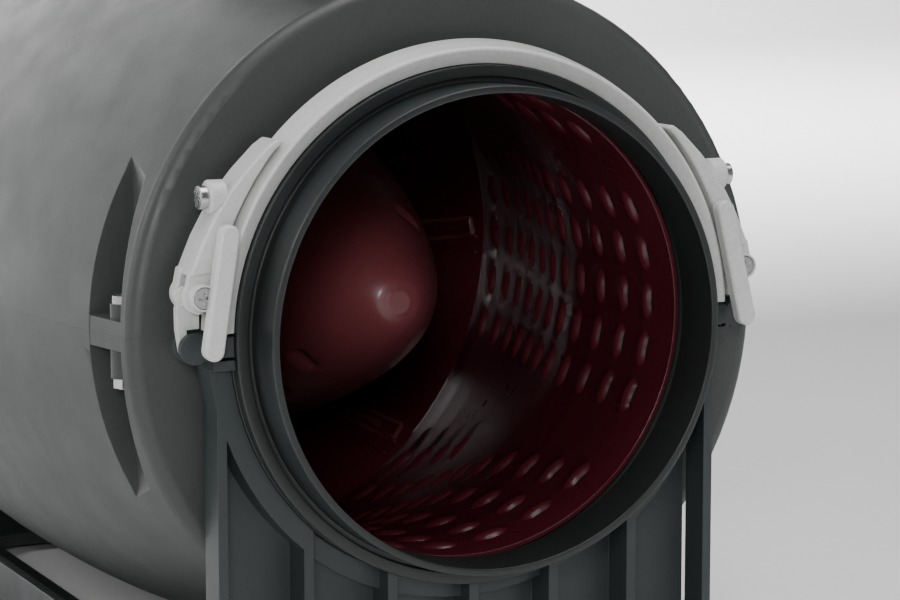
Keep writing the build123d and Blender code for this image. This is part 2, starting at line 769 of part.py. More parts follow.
with BuildPart() as base_bracket:
    with BuildSketch(Plane.XY.offset(plate_bottom)):
        RectangleRounded(2 * stand_half_width + 14, 2 * (half_length - stand_front), 8)
    extrude(amount=plate_top - plate_bottom)
    with BuildSketch(Plane.XY.offset(plate_bottom)):
        RectangleRounded(130, 400, 20)
    extrude(amount=20, mode=Mode.SUBTRACT)
    for end in (-1, 1):
        with BuildSketch(facing(end, stand_front)):
            with Locations((0, (plate_bottom - axis_height - 12) / 2)):
                Rectangle(2 * stand_half_width, axis_height - plate_bottom - 12)
            for side in (-1, 1):
                area(side, end, [(stand_half_width - 20, -27.6), (stand_half_width, -27.6), (115.2, -11),
                                 (115.2, 2.4), (stand_half_width - 20, 2.4)])
        extrude(amount=stand_back - stand_front)
        with BuildSketch(facing(end, stand_back)):
            with Locations((0, (plate_bottom - axis_height - 8) / 2)):
                Rectangle(2 * stand_half_width - 10, axis_height - plate_bottom - 8)
        extrude(amount=stand_plate_back - stand_back)
        with BuildSketch(facing(end, 21.8)):
            for side in (-1, 1):
                area(side, end, [(100, -11), (115.2, -11), (115.2, 2.4), (100, 2.4)])
        extrude(amount=12)
        for start, stop in ((23.5, 26.6), (31.5, 34.2)):
            with BuildSketch(facing(end, start)):
                for side in (-1, 1):
                    bar(spot(side, end, 112, -4.4), spot(side, end, hook_bar_u, hook_bar_z), 3.7)
                    with Locations(spot(side, end, hook_bar_u, hook_bar_z)):
                        Circle(6.2)
            extrude(amount=stop - start)
        with BuildSketch(facing(end, 23.5)):
            for side in (-1, 1):
                with Locations(spot(side, end, hook_bar_u, hook_bar_z)):
                    Circle(hook_bar_radius)
        extrude(amount=10.7)
        # seat for the neck and spigot flanges
        with BuildSketch(facing(end, 20)):
            Circle(strap_inner)
        extrude(amount=30, mode=Mode.SUBTRACT)
        # pockets between the ribs
        with BuildSketch(facing(end, stand_front - 1)):
            pocket_columns(columns)
            Circle(115.0, mode=Mode.SUBTRACT)
        extrude(amount=stand_floor - stand_front + 1, mode=Mode.SUBTRACT)
        with BuildSketch(facing(end, stand_front - 1)):
            pocket_columns(columns[1:-1])
            Circle(115.2, mode=Mode.INTERSECT)
        extrude(amount=10, mode=Mode.SUBTRACT)
        # slot in each strap tab
        with BuildSketch(facing(end, 20)):
            for side in (-1, 1):
                with Locations(spot(side, end, 110, -6.4)):
                    Rectangle(12, 1.3)
        extrude(amount=9, mode=Mode.SUBTRACT)
    # side rails
    with BuildSketch(Plane.XY.offset(plate_top - 1)):
        with Locations((-103, 0), (103, 0)):
            Rectangle(5, 2 * (half_length - stand_plate_back))
    extrude(amount=24)
    with BuildSketch(Plane.XY.offset(plate_bottom - 1)):
        with GridLocations(2 * bolt_x, 2 * bolt_y, 2, 2):
            Circle(bolt_hole)
        with GridLocations(2 * 86, 2 * 215, 2, 2):
            Circle(4.1)
    extrude(amount=12, mode=Mode.SUBTRACT)
save(base_bracket.part, "base_bracket")

with BuildPart() as pads:
    with BuildSketch(Plane.XY):
        with GridLocations(2 * 86, 2 * 215, 2, 2):
            Circle(15)
    extrude(amount=plate_bottom)
    with BuildSketch(Plane.XY.offset(plate_bottom - 1)):
        with GridLocations(2 * 86, 2 * 215, 2, 2):
            Circle(4.0)
    extrude(amount=plate_top - plate_bottom + 1)
save(pads.part, "rubber_pads")

# ---------------------------------------------------------------- terminal compartment
tray_front = at(-1, tower_front) + 3.6
tray_back = at(-1, tower_depth) - 18
tray_y = (tray_front + tray_back) / 2
tray_run = tray_back - tray_front
corner_x = tower_half_width - 8
corner_y = tower_run / 2 - 8

with BuildPart() as tray:
    with BuildSketch(Plane.XY.offset(axis_height + 168)):
        with Locations((0, tray_y)):
            Rectangle(2 * tower_half_width - 7.2, tray_run)
    extrude(amount=26)
    with BuildSketch(Plane.XY.offset(axis_height + 170.4)):
        with Locations((0, tray_y)):
            Rectangle(2 * tower_half_width - 28, tray_run - 4.8)
            Rectangle(2 * tower_half_width - 12, tray_run - 28)
    extrude(amount=30, mode=Mode.SUBTRACT)
    with BuildSketch(Plane.XY.offset(axis_height + 160)):
        with Locations((0, tower_mid)):
            with GridLocations(2 * corner_x, 2 * corner_y, 2, 2):
                Rectangle(10.6, 10.6)
    extrude(amount=60, mode=Mode.SUBTRACT)
save(tray.part, "terminal_tray")

with BuildPart() as terminals:
    with BuildSketch(Plane.XY.offset(axis_height + 170.4)):
        with Locations((-18, tray_y + 34)):
            Rectangle(50, 16)
    extrude(amount=13)
    with BuildSketch(Plane.XY.offset(axis_height + 178)):
        with Locations((-18, tray_y + 34)):
            with GridLocations(12, 1, 4, 1):
                Circle(3)
    extrude(amount=8, mode=Mode.SUBTRACT)
save(terminals.part, "terminal_block")

with BuildPart() as capacitor:
    with BuildSketch(Plane(origin=(-34, tray_y - 30, axis_height + 185.6), x_dir=(0, 1, 0), z_dir=(1, 0, 0))):
        Circle(14)
    extrude(amount=62)
save(capacitor.part, "run_capacitor")

with BuildPart() as lid:
    with BuildSketch(Plane.XY.offset(axis_height + tower_top)):
        with Locations((0, tower_mid)):
            RectangleRounded(2 * tower_half_width + 3, tower_run + 3, 6)
    extrude(amount=lid_thickness)
    with BuildSketch(Plane.XY.offset(axis_height + tower_top - 3)):
        with Locations((0, tower_mid)):
            RectangleRounded(2 * tower_half_width + 3, tower_run + 3, 6)
            RectangleRounded(2 * tower_half_width + 0.8, tower_run + 0.8, 5.4, mode=Mode.SUBTRACT)
    extrude(amount=3)
    with BuildSketch(Plane.XY.offset(axis_height + tower_top - 5)):
        with Locations((0, tower_mid)):
            with GridLocations(2 * corner_x, 2 * corner_y, 2, 2):
                Circle(2.1)
    extrude(amount=20, mode=Mode.SUBTRACT)
save(lid.part, "terminal_lid")

with BuildPart() as lid_screws:
    with BuildSketch(Plane.XY.offset(axis_height + tower_top + lid_thickness)):
        with Locations((0, tower_mid)):
            with GridLocations(2 * corner_x, 2 * corner_y, 2, 2):
                Circle(3.8)
    extrude(amount=2.4)
    with BuildSketch(Plane.XY.offset(axis_height + tower_top - 10)):
        with Locations((0, tower_mid)):
            with GridLocations(2 * corner_x, 2 * corner_y, 2, 2):
                Circle(1.78)
    extrude(amount=10 + lid_thickness + 0.5)
    with BuildSketch(Plane.XY.offset(axis_height + tower_top + lid_thickness + 1.2)):
        with Locations((0, tower_mid)):
            with GridLocations(2 * corner_x, 2 * corner_y, 2, 2):
                Rectangle(4.2, 1.0)
                Rectangle(1.0, 4.2)
    extrude(amount=3, mode=Mode.SUBTRACT)
save(lid_screws.part, "lid_screws")

gland_spot = (-28, tower_top - 18)
with BuildPart() as gland:
    with BuildSketch(facing(-1, tower_depth)):
        with Locations(gland_spot):
            RegularPolygon(12, 6)
    extrude(amount=6)
    with BuildSketch(facing(-1, tower_depth + 6)):
        with Locations(gland_spot):
            Circle(10)
    extrude(amount=14, taper=6)
    with BuildSketch(facing(-1, tower_depth - 11)):
        with Locations(gland_spot):
            Circle(8)
    extrude(amount=12)
    with BuildSketch(facing(-1, tower_depth - 12)):
        with Locations(gland_spot):
            Circle(4.5)
    extrude(amount=40, mode=Mode.SUBTRACT)
save(gland.part, "cable_gland")

with BuildPart() as gland_nut:
    with BuildSketch(facing(-1, tower_depth - 3.2 - 4.5)):
        with Locations(gland_spot):
            RegularPolygon(12, 6)
            Circle(8.02, mode=Mode.SUBTRACT)
    extrude(amount=4.5)
save(gland_nut.part, "gland_nut")
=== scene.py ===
"""Looks of an in-line duct fan: moulded plastic housing, clamp straps, louvred inner skin and hub dome.

Blender 4.5. Outlines are in millimetres. A depth d is measured into the fan from one mouth of the duct
(end -1 is the outlet, end 1 the inlet), u is the distance outside the duct axis on one side,
and z is the height above the duct axis.
"""

import json
import math

import bmesh
import bpy
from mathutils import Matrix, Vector


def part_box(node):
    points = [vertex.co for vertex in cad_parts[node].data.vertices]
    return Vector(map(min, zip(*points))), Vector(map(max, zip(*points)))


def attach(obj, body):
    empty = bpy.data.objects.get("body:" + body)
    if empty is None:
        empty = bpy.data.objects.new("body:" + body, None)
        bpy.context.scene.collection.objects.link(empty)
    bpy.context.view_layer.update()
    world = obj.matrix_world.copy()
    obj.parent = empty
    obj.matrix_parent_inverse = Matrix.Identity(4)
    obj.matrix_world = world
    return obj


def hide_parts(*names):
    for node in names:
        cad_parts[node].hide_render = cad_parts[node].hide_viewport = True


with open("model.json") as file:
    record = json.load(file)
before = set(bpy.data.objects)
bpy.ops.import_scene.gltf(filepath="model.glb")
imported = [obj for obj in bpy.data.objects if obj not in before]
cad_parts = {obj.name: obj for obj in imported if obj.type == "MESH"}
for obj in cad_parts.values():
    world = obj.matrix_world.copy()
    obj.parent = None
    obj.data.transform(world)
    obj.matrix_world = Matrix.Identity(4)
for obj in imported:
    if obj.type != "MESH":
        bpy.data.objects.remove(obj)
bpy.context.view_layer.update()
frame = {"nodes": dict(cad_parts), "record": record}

MM = 0.001
collar_low, collar_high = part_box("front_collar")
AXIS_Z = (collar_low.z + collar_high.z) / 2 / MM
HALF_LENGTH = -collar_low.y / MM
SIDES = ((-1, "left"), (1, "right"))
ENDS = ((-1, "front"), (1, "rear"))
FAN = "fan"


# ---------------------------------------------------------------- places
def at(end, d):
    """Y of a depth inside one mouth."""
    return end * (HALF_LENGTH - d)


def polar(end, d, r, degrees):
    """Point at a depth, a radius and an angle from +X towards +Z."""
    a = math.radians(degrees)
    return Vector((r * math.cos(a), at(end, d), AXIS_Z + r * math.sin(a)))


def along(points, d):
    """Radius at depth d, read off an outline of (d, r) pairs."""
    for (d0, r0), (d1, r1) in zip(points, points[1:]):
        if d <= d1:
            return r0 + (r1 - r0) * (d - d0) / (d1 - d0)
    return points[-1][1]


# ---------------------------------------------------------------- materials
class Nodes:
    """Short way to add and link shader nodes."""

    def __init__(self, name):
        self.material = bpy.data.materials.new(name)
        self.material.use_nodes = True
        self.tree = self.material.node_tree
        self.shader = self.tree.nodes["Principled BSDF"]
        self.place = self.add("ShaderNodeTexCoord").outputs["Object"]

    def add(self, kind, **values):
        node = self.tree.nodes.new(kind)
        for key, value in values.items():
            setattr(node, key, value)
        return node

    def link(self, output, socket):
        self.tree.links.new(output, socket)

    def noise(self, scale, detail=3.0, roughness=0.55, place=None):
        node = self.add("ShaderNodeTexNoise")
        node.inputs["Scale"].default_value = scale
        node.inputs["Detail"].default_value = detail
        node.inputs["Roughness"].default_value = roughness
        self.link(place or self.place, node.inputs["Vector"])
        return node.outputs["Fac"]

    def ranged(self, value, low, high, low_in=0.3, high_in=0.7):
        node = self.add("ShaderNodeMapRange")
        for socket, number in zip(("From Min", "From Max", "To Min", "To Max"), (low_in, high_in, low, high)):
            node.inputs[socket].default_value = number
        self.link(value, node.inputs["Value"])
        return node.outputs["Result"]

    def mix(self, fac, first, second, blend="MIX"):
        node = self.add("ShaderNodeMix", data_type="RGBA", blend_type=blend)
        colours = [s for s in node.inputs if s.type == "RGBA"]
        for socket, value in ((node.inputs[0], fac), (colours[0], first), (colours[1], second)):
            if isinstance(value, bpy.types.NodeSocket):
                self.link(value, socket)
            elif isinstance(value, (int, float)):
                socket.default_value = value
            else:
                socket.default_value = (*value, 1)
        return [s for s in node.outputs if s.type == "RGBA"][0]

    def bump(self, height, strength, distance, normal=None):
        node = self.add("ShaderNodeBump")
        node.inputs["Strength"].default_value = strength
        node.inputs["Distance"].default_value = distance
        self.link(height, node.inputs["Height"])
        if normal:
            self.link(normal, node.inputs["Normal"])
        return node.outputs["Normal"]

    def soft_edges(self, radius):
        """Rounded normal at corners, and how much a point is an edge."""
        bevel = self.add("ShaderNodeBevel", samples=4)
        bevel.inputs["Radius"].default_value = radius
        flat = self.add("ShaderNodeNewGeometry").outputs["Normal"]
        dot = self.add("ShaderNodeVectorMath", operation="DOT_PRODUCT")
        self.link(bevel.outputs["Normal"], dot.inputs[0])
        self.link(flat, dot.inputs[1])
        return bevel.outputs["Normal"], self.ranged(dot.outputs["Value"], 1.0, 0.0, 0.86, 0.995)


def moulded(name, colour, rough, grain=900.0, grain_depth=0.00012, strength=0.25, coat=0.0, wear_and_highlight=0.12,
            mottle=0.12, specular=0.5, edge=0.0006):
    """Moulded plastic: fine spark-eroded grain, faint flow mottling, edges lightened partly as scuffs and
    partly as a painted highlight.
    """
    n = Nodes(name)
    dark = [c * (1 - mottle) for c in colour]
    light = [c * (1 + mottle) for c in colour]
    body = n.mix(n.ranged(n.noise(14.0, 4.0), 0.0, 1.0), dark, light)
    speckle = n.mix(n.ranged(n.noise(grain * 0.6, 2.0), 0.0, 0.35), body, [c * 1.35 + 0.004 for c in colour])
    rounded, edges = n.soft_edges(edge)
    # lighter edges: partly scuffs, partly a painted highlight where rims and corners catch the light
    scuff_and_highlight_mask = n.add("ShaderNodeMath", operation="MULTIPLY")
    n.link(edges, scuff_and_highlight_mask.inputs[0])
    n.link(n.ranged(n.noise(60.0, 5.0, 0.7), 0.15, 1.0, 0.35, 0.65), scuff_and_highlight_mask.inputs[1])
    wear_and_highlight_fac = n.add("ShaderNodeMath", operation="MULTIPLY")
    n.link(scuff_and_highlight_mask.outputs[0], wear_and_highlight_fac.inputs[0])
    wear_and_highlight_fac.inputs[1].default_value = wear_and_highlight
    colour_out = n.mix(wear_and_highlight_fac.outputs[0], speckle, [min(1.0, c * 1.8 + 0.12) for c in colour])
    n.link(colour_out, n.shader.inputs["Base Color"])
    n.link(n.ranged(n.noise(38.0, 5.0, 0.6), rough - 0.05, rough + 0.07), n.shader.inputs["Roughness"])
    n.link(n.bump(n.noise(grain, 2.0, 0.6), strength, grain_depth, rounded), n.shader.inputs["Normal"])
    n.shader.inputs["Coat Weight"].default_value = coat
    n.shader.inputs["Coat Roughness"].default_value = 0.18
    n.shader.inputs["Specular IOR Level"].default_value = specular
    return n.material


def metal(name, colour, rough, brushed=(1.0, 1.0, 1.0), scale=300.0, depth=0.00004):
    """Plated, cast or ground metal; brushed stretches its scratches along an axis."""
    n = Nodes(name)
    stretch = n.add("ShaderNodeMapping")
    stretch.inputs["Scale"].default_value = brushed
    n.link(n.place, stretch.inputs["Vector"])
    scratches = n.noise(scale, 5.0, 0.7, stretch.outputs["Vector"])
    n.link(n.mix(n.ranged(n.noise(30.0, 4.0), 0.0, 0.6), colour, [c * 0.72 for c in colour]),
           n.shader.inputs["Base Color"])
    n.link(n.ranged(scratches, rough - 0.06, rough + 0.12), n.shader.inputs["Roughness"])
    rounded = n.soft_edges(0.0003)[0]
    n.link(n.bump(scratches, 0.3, depth, rounded), n.shader.inputs["Normal"])
    n.shader.inputs["Metallic"].default_value = 1.0
    return n.material


def foam(name, colour):
    """Open-cell acoustic foam, with painted shade darkening the pits of its cells."""
    n = Nodes(name)
    cells = n.add("ShaderNodeTexVoronoi")
    cells.inputs["Scale"].default_value = 520.0
    n.link(n.place, cells.inputs["Vector"])
    depth = n.ranged(cells.outputs["Distance"], 0.0, 1.0, 0.1, 0.7)
    # cell pits darker: painted shade in the open cells
    n.link(n.mix(depth, [c * 0.35 for c in colour], colour), n.shader.inputs["Base Color"])
    n.link(n.ranged(n.noise(90.0), 0.86, 0.96), n.shader.inputs["Roughness"])
    n.link(n.bump(depth, 0.8, 0.0012), n.shader.inputs["Normal"])
    return n.material


def wound(name, colour):
    """Enamelled wire packed in coils."""
    n = Nodes(name)
    wave = n.add("ShaderNodeTexWave", wave_type="RINGS", rings_direction="Y")
    wave.inputs["Scale"].default_value = 260.0
    wave.inputs["Distortion"].default_value = 1.5
    n.link(n.place, wave.inputs["Vector"])
    n.link(n.mix(wave.outputs["Fac"], [c * 0.35 for c in colour], colour), n.shader.inputs["Base Color"])
    n.link(n.ranged(n.noise(200.0), 0.28, 0.42), n.shader.inputs["Roughness"])
    n.link(n.bump(wave.outputs["Fac"], 0.6, 0.0004), n.shader.inputs["Normal"])
    n.shader.inputs["Metallic"].default_value = 0.85
    return n.material


GRAPHITE = (0.040, 0.044, 0.042)
housing_plastic = moulded("housing_plastic", GRAPHITE, 0.46, 1100.0, 0.00016, 0.35, wear_and_highlight=0.10)
stand_plastic = moulded("stand_plastic", (0.026, 0.033, 0.033), 0.42, 1000.0, 0.00012, 0.28, wear_and_highlight=0.16)
# collar rims get the strongest edge lightening: a painted highlight on the bright rim edges, partly scuffs
collar_plastic = moulded("collar_plastic", (0.014, 0.017, 0.017), 0.34, 1300.0, 0.00008, 0.2, wear_and_highlight=0.30)
strap_plastic = moulded("strap_plastic", (0.56, 0.57, 0.555), 0.33, 800.0, 0.00006, 0.15, coat=0.15,
                        wear_and_highlight=0.06, mottle=0.03)
red_plastic = moulded("red_plastic", (0.080, 0.009, 0.017), 0.30, 1200.0, 0.00005, 0.15, coat=0.25,
                      wear_and_highlight=0.05, mottle=0.10)
dome_plastic = moulded("dome_plastic", (0.16, 0.036, 0.042), 0.38, 1200.0, 0.00005, 0.15, coat=0.2,
                       wear_and_highlight=0.05, mottle=0.07)
impeller_plastic = moulded("impeller_plastic", (0.035, 0.035, 0.04), 0.38, 500.0, 0.0001, 0.3)
tray_plastic = moulded("tray_plastic", (0.09, 0.09, 0.10), 0.45)
terminal_plastic = moulded("terminal_plastic", (0.45, 0.46, 0.45), 0.4)
seal_rubber = moulded("seal_rubber", (0.012, 0.012, 0.012), 0.72, 600.0, 0.0003, 0.4, wear_and_highlight=0.05, specular=0.3)
# near-black: the foam's own dark tone, pushed darker as painted shade seen through the louvre holes
lining_foam = foam("lining_foam", (0.012, 0.012, 0.013))
screw_steel = metal("screw_steel", (0.62, 0.62, 0.63), 0.22)
bearing_steel = metal("bearing_steel", (0.66, 0.66, 0.68), 0.14, (1, 30, 1))
motor_alloy = metal("motor_alloy", (0.55, 0.56, 0.57), 0.42, scale=900.0, depth=0.0001)
core_iron = metal("core_iron", (0.2, 0.2, 0.21), 0.4, (1, 60, 1), 80.0, 0.0003)
coil_copper = wound("coil_copper", (0.55, 0.24, 0.1))

SLOT_MATERIALS = {
    "housing": housing_plastic, "stand": stand_plastic, "collar": collar_plastic, "strap": strap_plastic,
    "inner_skin": red_plastic, "impeller": impeller_plastic, "seal": seal_rubber, "lining": lining_foam,
    "screw": screw_steel, "bearing": bearing_steel, "motor": motor_alloy, "core": core_iron,
    "winding": coil_copper, "tray": tray_plastic, "terminal": terminal_plastic,
}
for entry in frame["record"]["subparts"]:
    cad_object = frame["nodes"][entry["node"]]
    cad_object.data.materials.clear()
    cad_object.data.materials.append(SLOT_MATERIALS[entry["material_slot"]])


# ---------------------------------------------------------------- mesh pieces
def piece(name, points, faces, material, slot, body=FAN, replaces=(), smooth=True):
    """Mesh object from points in millimetres, riding on a CAD body."""
    mesh = bpy.data.meshes.new(name)
    mesh.from_pydata([Vector(p) * MM for p in points], [], faces)
    mesh.validate()
    mesh.update()
    mesh.materials.append(material)
    if smooth:
        mesh.shade_smooth()
    obj = bpy.data.objects.new(name, mesh)
    bpy.context.scene.collection.objects.link(obj)
    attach(obj, body)
    if replaces:
        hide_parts(*replaces)
    return obj


def outward(obj):
    """Faces of a closed piece turned to face out."""
    work = bmesh.new()
    work.from_mesh(obj.data)
    bmesh.ops.recalc_face_normals(work, faces=work.faces)
    work.to_mesh(obj.data)
    work.free()
    return obj


def eased(obj, width, segments=3, angle=32.0):
    """Rounded edges, with the flats kept flat."""
    bevel = obj.modifiers.new("edges", "BEVEL")
    bevel.width = width * MM
    bevel.segments = segments
    bevel.limit_method = "ANGLE"
    bevel.angle_limit = math.radians(angle)
    bevel.use_clamp_overlap = True
    bevel.harden_normals = True
    return obj


def filleted(outline, radii, steps=5):
    """Closed outline with its corners replaced by arcs."""
    out = []
    count = len(outline)
    for i, corner in enumerate(outline):
        here = Vector(corner)
        before = (Vector(outline[i - 1]) - here)
        after = (Vector(outline[(i + 1) % count]) - here)
        radius = radii[i] if isinstance(radii, (list, tuple)) else radii
        half = before.angle(after) / 2
        if radius <= 0 or half > math.radians(88):
            out.append(tuple(here))
            continue
        cut = min(radius / math.tan(half), before.length * 0.48, after.length * 0.48)
        start = here + before.normalized() * cut
        stop = here + after.normalized() * cut
        for k in range(steps + 1):
            t = k / steps
            out.append(tuple(start * (1 - t) ** 2 + here * 2 * t * (1 - t) + stop * t ** 2))
    return out


def lathe(name, end, outline, material, slot, start=0.0, stop=360.0, segments=256, **more):
    """Closed (d, r) outline turned about the duct axis, whole or from one angle to another."""
    whole = abs(stop - start - 360.0) < 1e-6
    rings = segments if whole else segments + 1
    size = len(outline)
    turn = stop - start
    points = [polar(end, d, r, start + turn * i / segments) for i in range(rings) for d, r in outline]
    faces = []
    for i in range(segments):
        here = i * size
        there = (i + 1) % rings * size
        for j in range(size):
            k = (j + 1) % size
            faces.append((here + j, here + k, there + k, there + j))
    if not whole:
        faces.append(tuple(range(size)))
        faces.append(tuple(range((rings - 1) * size, rings * size))[::-1])
    return outward(piece(name, points, faces, material, slot, **more))


def plate(name, side, end, outline, d0, d1, material, slot, edge=0.5, **more):
    """(u, z) outline extruded between two depths on one side of the duct, with rounded edges."""
    count = len(outline)
    points = []
    for d in (d0, d1):
        points += [(side * u, at(end, d), AXIS_Z + z) for u, z in outline]
    faces = [tuple(range(count)), tuple(range(2 * count - 1, count - 1, -1))]
    faces += [(i, (i + 1) % count, count + (i + 1) % count, count + i) for i in range(count)]
    return eased(outward(piece(name, points, faces, material, slot, **more)), edge)


def rod(name, start, stop, radius, material, slot, dome=0.3, turns=40, **more):
    """Round rod between two points, with softly domed ends."""
    start = Vector(start)
    axis = Vector(stop) - start
    length = axis.length
    axis.normalize()
    across = axis.orthogonal().normalized()
    other = axis.cross(across)
    shoulder = radius - dome * 0.8
    stations = [(0.0, radius * 0.55), (dome * 0.25, shoulder), (dome, radius), (length - dome, radius),
                (length - dome * 0.25, shoulder), (length, radius * 0.55)]
    points = []
    for run, r in stations:
        for k in range(turns):
            a = 2 * math.pi * k / turns
            points.append(start + axis * run + (across * math.cos(a) + other * math.sin(a)) * r)
    faces = [tuple(range(turns)), tuple(range((len(stations) - 1) * turns, len(stations) * turns))]
    for i in range(len(stations) - 1):
        for k in range(turns):
            m = (k + 1) % turns
            faces.append((i * turns + k, i * turns + m, (i + 1) * turns + m, (i + 1) * turns + k))
    return eased(outward(piece(name, points, faces, material, slot, **more)), 0.15, 2, 40)


def circle(centre, r, first, last, steps=18):
    """Points of an arc in the (u, z) plane, in degrees."""
    arc = []
    for i in range(steps + 1):
        a = math.radians(first + (last - first) * i / steps)
        arc.append((centre[0] + r * math.cos(a), centre[1] + r * math.sin(a)))
    return arc


# ---------------------------------------------------------------- louvred inner skin
SKIN = [
    (34.6, 97.8), (62.8, 99.3), (87.0, 101.4), (112.0, 103.6), (137.0, 106.6), (164.0, 112.1), (190.0, 119.0),
    (216.0, 126.5), (242.0, 133.8), (268.0, 140.6), (293.0, 146.4), (316.0, 150.4), (334.2, 152.3),
]
FIRST_COLUMN = 60.5
COLUMN_PITCH = 25.6
COLUMNS = 11
FIRST_DEEP_COLUMN = 7
SIDE_PITCH = 12.15
CROWN_PITCH = 13.8
CELL = 14
# rings of a louvre from its hole outwards: half length, half width, shift inwards,
# rise on the side of the mouth, rise on the deep side
RINGS = {
    3: (6.6, 2.3, -2.0, -1.7, -3.3), 4: (7.1, 3.3, -1.1, -0.35, -0.7),
    5: (7.7, 4.3, -0.3, 0.0, 1.35), 6: (8.2, 5.3, 0.2, 0.0, 0.55),
}


def skin_cells():
    """Cells round the skin: group centre, offset, two half widths, and if only deep columns have it."""
    cells = []
    for centre, pitch, rows, is_crown in ((0, SIDE_PITCH, 2, False), (90, CROWN_PITCH, 4, True),
                                          (180, SIDE_PITCH, 2, False), (270, CROWN_PITCH, 4, True)):
        for row in range(-rows, rows + 1):
            low = pitch / 2
            high = pitch / 2
            if is_crown and row == rows:
                high = 3.9
            if is_crown and row == -rows:
                low = 3.9
            if not is_crown and row == rows:
                high = 5.5
            if not is_crown and row == -rows:
                low = 5.5
            deep_only = is_crown and abs(row) == rows
            cells.append((centre, row * pitch, low, high, deep_only))
    return cells


def spread(d):
    """How far the rows have closed up in angle at depth d."""
    return (along(SKIN, FIRST_COLUMN) / along(SKIN, d)) ** 0.73


def ring_of(i, j):
    """Ring number of a cell's grid point, counted from the middle."""
    half = CELL // 2
    return max(abs(i - half), abs(j - half))


def cell_point(cell, column, i, j):
    """One grid point of a louvre cell: depth, radius and angle."""
    centre, offset, low, high, deep_only = cell
    half = CELL // 2
    a = (i - half) / half
    b = (j - half) / half
    middle = FIRST_COLUMN + COLUMN_PITCH * column
    flat_d = middle + b * COLUMN_PITCH / 2
    flat_angle = centre + (offset + a * (high if a > 0 else low)) * spread(flat_d)
    ring = ring_of(i, j)
    if ring >= half or (deep_only and column < FIRST_DEEP_COLUMN):
        return flat_d, along(SKIN, flat_d), flat_angle
    length, width, shift, mouth_rise, deep_rise = RINGS.get(ring, RINGS[3])
    share = ring / 3 if ring < 3 else 1.0
    m = max(abs(a), abs(b), 1e-9)
    square = (a / m, b / m)
    if abs(square[0]) >= abs(square[1]):
        turn = math.copysign(math.pi / 4 * abs(square[1]), square[1])
        turn = turn if square[0] > 0 else math.pi - turn
    else:
        turn = math.pi / 2 - math.pi / 4 * abs(square[0])
        turn = turn if square[0] > 0 else math.pi - turn
        turn = turn if square[1] > 0 else -turn
    s = length * share * math.cos(turn)
    t = shift + width * share * math.sin(turn)
    d = middle + t
    deep = (1 + math.sin(turn)) / 2
    ends = max(0.0, math.sin(turn)) if deep_rise > 0 else 1.0
    rise = mouth_rise + (deep_rise - mouth_rise) * (deep if deep_rise <= 0 else ends)
    r = along(SKIN, d)
    angle = centre + offset * spread(middle) + math.degrees(s / r)
    return d, r - rise, angle


def louvred_skin():
    """Inner skin with a scooped oval hole in every cell."""
    cells = skin_cells()
    gap_steps = 4
    lines = []
    for index, cell in enumerate(cells):
        for i in range(CELL):
            lines.append(("cell", index, i))
        lines.append(("cell", index, CELL))
        nxt = cells[(index + 1) % len(cells)]
        if nxt[0] != cell[0]:
            for g in range(1, gap_steps):
                lines.append(("gap", index, g / gap_steps))
        else:
            lines.pop()
    depths = [("flat", 34.6 + i * (FIRST_COLUMN - COLUMN_PITCH / 2 - 34.6) / 4) for i in range(4)]
    for column in range(COLUMNS):
        depths += [(column, j) for j in range(CELL)]
    last_edge = FIRST_COLUMN + COLUMN_PITCH * (COLUMNS - 0.5)
    depths += [("flat", last_edge + i * (334.2 - last_edge) / 3) for i in range(4)]

    def flat(d, line):
        kind, index, where = line
        cell = cells[index]
        if kind == "cell":
            a = (where - CELL / 2) / (CELL / 2)
            return cell[0] + (cell[1] + a * (cell[3] if a > 0 else cell[2])) * spread(d)
        nxt = cells[(index + 1) % len(cells)]
        first = cell[0] + (cell[1] + cell[3]) * spread(d)
        last = nxt[0] + (nxt[1] - nxt[2]) * spread(d)
        last += 360.0 if last < first - 180 else 0.0
        return first + (last - first) * where

    points = []
    for kind, value in depths:
        for line in lines:
            if kind == "flat":
                points.append(polar(-1, value, along(SKIN, value), flat(value, line)))
            elif line[0] == "cell":
                points.append(polar(-1, *cell_point(cells[line[1]], kind, line[2], value)))
            else:
                d = FIRST_COLUMN + COLUMN_PITCH * (kind + (value - CELL / 2) / CELL)
                points.append(polar(-1, d, along(SKIN, d), flat(d, line)))
    faces = []
    width = len(lines)
    for row in range(len(depths) - 1):
        kind, value = depths[row]
        for k, line in enumerate(lines):
            if kind != "flat" and line[0] == "cell" and line[2] < CELL:
                cell = cells[line[1]]
                corners = [ring_of(line[2] + x, value + y) for x in (0, 1) for y in (0, 1)]
                if max(corners) <= 3 and not (cell[4] and kind < FIRST_DEEP_COLUMN):
                    continue
            nxt = (k + 1) % width
            faces.append((row * width + k, (row + 1) * width + k, (row + 1) * width + nxt, row * width + nxt))
    return piece("louvred_skin", points, faces, red_plastic, "inner_skin", replaces=["front_skin"])


louvred_skin()
lathe("skin_lip", -1, filleted([(33.9, 97.0), (33.9, 99.0), (36.4, 99.4), (36.4, 97.5)], 0.35, 3),
      red_plastic, "inner_skin", segments=192)

# ---------------------------------------------------------------- hub dome
DOME_TIP = 102.0
DOME_BASE = 345.4
# scoops: depth, angle, half length across, half width along the dome
SCOOPS = [(150.5, 50.5, 8.2, 5.6), (189.0, 63.5, 9.2, 6.2), (189.0, 44.5, 9.2, 6.2), (172.0, 25.0, 8.5, 5.2)]


def dome_radius(d):
    return 5.5 + 82.0 * ((d - DOME_TIP) / 200.0) ** 0.606


